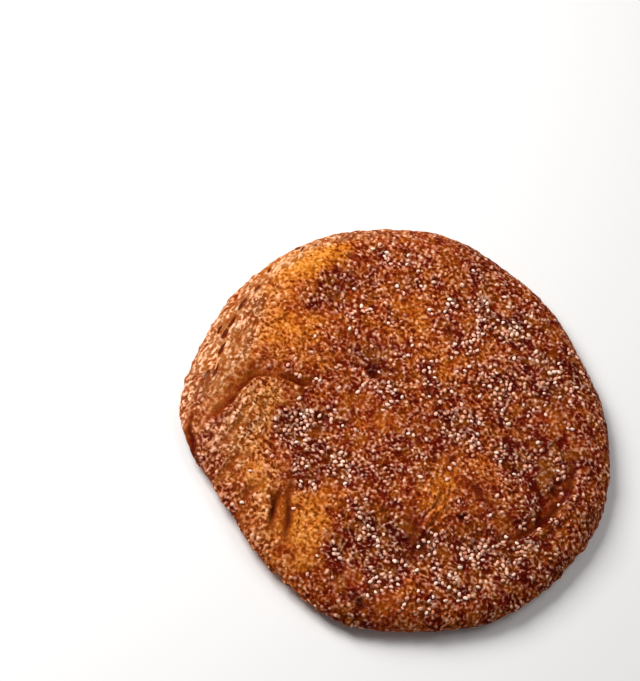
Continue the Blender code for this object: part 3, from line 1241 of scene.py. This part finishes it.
def skin_color(tree, on):
    """How golden the skin is, with a painted shadow around the seeds, a painted pale sheen where it faces
    the light, and fold bottoms darkened partly by the syrup and partly by painted shade.
    """
    share = about(tree, on["fry"], on["mottle"], 0.5, 0.85)
    # Lower grain is darker, partly as painted shade in the crevices.
    share = about(tree, share, on["height"], 0.30, 0.35)
    share = about(tree, share, on["speck"], 0.5, 0.24)
    share = plus(tree, share, on["seeding"], -0.30)
    # A painted shadow darkens the dough around each seed.
    share = plus(tree, share, on["pocket"], -0.42, clamp=True)
    golden = times(tree, between(tree, 0.44, 0.62, on["tint"]), 0.40)
    skin = mixed(tree, golden, ramp(tree, share, SKIN_COLORS), GOLDEN_TINT)
    # The pale painted sheen, where the skin faces the light.
    sheen_share = times(tree, on["painted_sheen"], between(tree, 0.32, 0.62, on["mottle"]))
    sheen_share = times(tree, sheen_share, between(tree, 0.6, 0.1, on["hollow"]))
    sheen_share = times(tree, sheen_share, between(tree, 0.02, 0.36, on["height"]))
    skin = mixed(tree, times(tree, sheen_share, 0.95), skin, PAINTED_SHEEN_COLOR)
    # The folds' bottoms darken, partly as painted shade.
    return mixed(tree, times(tree, on["hollow"], 0.97), skin, SHADED_FOLD_BOTTOM)


# %% The grains' colour
# The gaps between the grains: the crust's darker fried colour, deepened with painted shade.
DARK_GAP_SHADE, LIGHT_GAP_SHADE = srgb(70, 6, 1), srgb(82, 13, 2)
# The grains' tops: lighter dough with painted highlights, the glints of the oily crust.
PINKISH_TOP_HIGHLIGHT, AMBER_TOP_HIGHLIGHT, SHADED_HOLLOW_TOP = srgb(255, 204, 174), srgb(240, 170, 104), srgb(190, 84, 40)


def crust_color(tree, on):
    """The skin, the gaps between the grains darkened partly with painted shade, and the grains' tops
    lightened partly with painted highlights.
    """
    widened = plus(tree, on["height"], on["painted_sheen"], -0.22)
    gap_shade = times(tree, between(tree, 0.32, 0.05, widened), on["rough"], 0.90)
    gap_shade = math_of(tree, "MAXIMUM", gap_shade, times(tree, on["slit"], 0.95))
    light = math_of(tree, "MAXIMUM", on["painted_sheen"], between(tree, 0.42, 0.80, on["fry"]))
    gap_shaded = mixed(tree, gap_shade, skin_color(tree, on), mixed(tree, light, DARK_GAP_SHADE, LIGHT_GAP_SHADE))
    brightest = plus(tree, 0.95, on["painted_sheen"], -0.22)
    # Painted highlights on the grains' tops.
    top_highlight = times(tree, between(tree, 0.30, brightest, on["height"]), on["rough"])
    unslit = math_of(tree, "SUBTRACT", 1.0, on["slit"])
    # No light grain tops in the painted shadow around the seeds.
    top_highlight = times(tree, top_highlight, unslit, between(tree, 1.6, 0.2, on["pocket"]))
    amber = plus(tree, between(tree, 0.42, 0.75, on["fry"]), on["painted_sheen"], -2.0, clamp=True)
    top_highlight_color = mixed(tree, amber, PINKISH_TOP_HIGHLIGHT, AMBER_TOP_HIGHLIGHT)
    # Grain tops in the hollows are darkened with painted shade.
    top_highlight_color = mixed(tree, on["hollow"], top_highlight_color, SHADED_HOLLOW_TOP)
    return mixed(tree, top_highlight, gap_shaded, top_highlight_color)


# %% Crust material
def grey(share):
    return (share, share, share, 1.0)


def finish_crust(tree, surface):
    on = crust_numbers(tree)
    relief = math_of(tree, "SUBTRACT", on["height"], on["slit"])
    coarse = bump(tree, relief, 0.8, 0.22 * MM)
    looks = {
        "Base Color": crust_color(tree, on),
        "Roughness": ramp(tree, on["speck"], ((0.3, grey(0.36)), (0.7, grey(0.60)))),
        "Specular IOR Level": 0.02,
        "Normal": bump(tree, on["speck"], 0.7, 0.10 * MM, Normal=coarse),
    }
    fill(tree, surface, looks)


finish_crust(crust_finish.node_tree, crust_surface)
print(f"crust's material: {len(crust_finish.node_tree.nodes)} nodes")

# %% [markdown]
# ## Joining the frame
#
# Both pieces ride on the sweet's one body. The crust stands for the construction model's solid,
# which is then not shown.

# %% Ride on the frame
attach(crust, "root")
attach(seeds, "root")
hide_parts("adhirasam")

# %% [markdown]
# ## Floor and light
#
# The sweet lies on a plain white floor. A wide soft light stands on its left, low enough to rake
# over the grain, and near enough to fall off towards the right. A weaker one from above and behind
# fills the shadows, and so does the pale world.

# %% Floor
def plain_floor():
    mesh = new_mesh("floor", [(-3, -3, 0), (3, -3, 0), (3, 3, 0), (-3, 3, 0)], [(0, 1, 2, 3)])
    floor = new_object("floor", mesh)
    material, surface = new_material("pale_floor")
    fill(material.node_tree, surface, {"Base Color": srgb(243, 241, 239), "Roughness": 0.6})
    mesh.materials.append(material)


plain_floor()

# %% Lights
def soft_light(name, azimuth, elevation, distance, size, power):
    """A square area light that faces the sweet. Azimuth 0 is on the +X side, 90 is behind it."""
    lamp = bpy.data.lights.new(name, "AREA")
    lamp.size, lamp.energy = size, power
    made = new_object(name, lamp)
    a, e = math.radians(azimuth), math.radians(elevation)
    aside = Vector((math.cos(a), math.sin(a), 0)) * math.cos(e)
    made.location = distance * (aside + Vector((0, 0, math.sin(e))))
    made.rotation_euler = (-made.location).to_track_quat("-Z", "Y").to_euler()


soft_light("window", 172, 42, 0.45, 0.25, 2.65)
soft_light("bounce", 60, 60, 0.9, 0.5, 1.6)
world = bpy.data.worlds.new("pale_room")
world.use_nodes = True
sky = world.node_tree.nodes["Background"]
fill(world.node_tree, sky, {"Color": (0.95, 0.97, 1.0, 1), "Strength": 0.16})
bpy.context.scene.world = world
bpy.context.scene.view_settings.view_transform = "Standard"

# %% [markdown]
# ## Camera
#
# The camera looks down on the face from the front, with a long lens and turned a little, so that the
# sweet's far side points up and to the right.

# %% Camera
ELEVATION = 61
ROLL = 30
DISTANCE = 0.60
LENS = 137.7
AIM_RIGHT = -19.0 * MM  # from the sweet's middle to the middle of the view
AIM_UP = 19.2 * MM


def look_from_above():
    e, roll = math.radians(ELEVATION), math.radians(ROLL)
    back = Vector((0, -math.cos(e), math.sin(e)))
    away = Vector((0, math.sin(e), math.cos(e)))
    right = math.cos(roll) * Vector((1, 0, 0)) + math.sin(roll) * away
    up = math.cos(roll) * away - math.sin(roll) * Vector((1, 0, 0))
    target = Vector((-MIDDLE_X, -MIDDLE_Y, WIDEST_HEIGHT)) * MM + AIM_RIGHT * right + AIM_UP * up
    camera = new_object("camera", bpy.data.cameras.new("camera"))
    camera.data.lens = LENS
    turned = Matrix((right, up, back)).transposed().to_4x4()
    camera.matrix_world = Matrix.Translation(target + DISTANCE * back) @ turned
    bpy.context.scene.camera = camera


look_from_above()
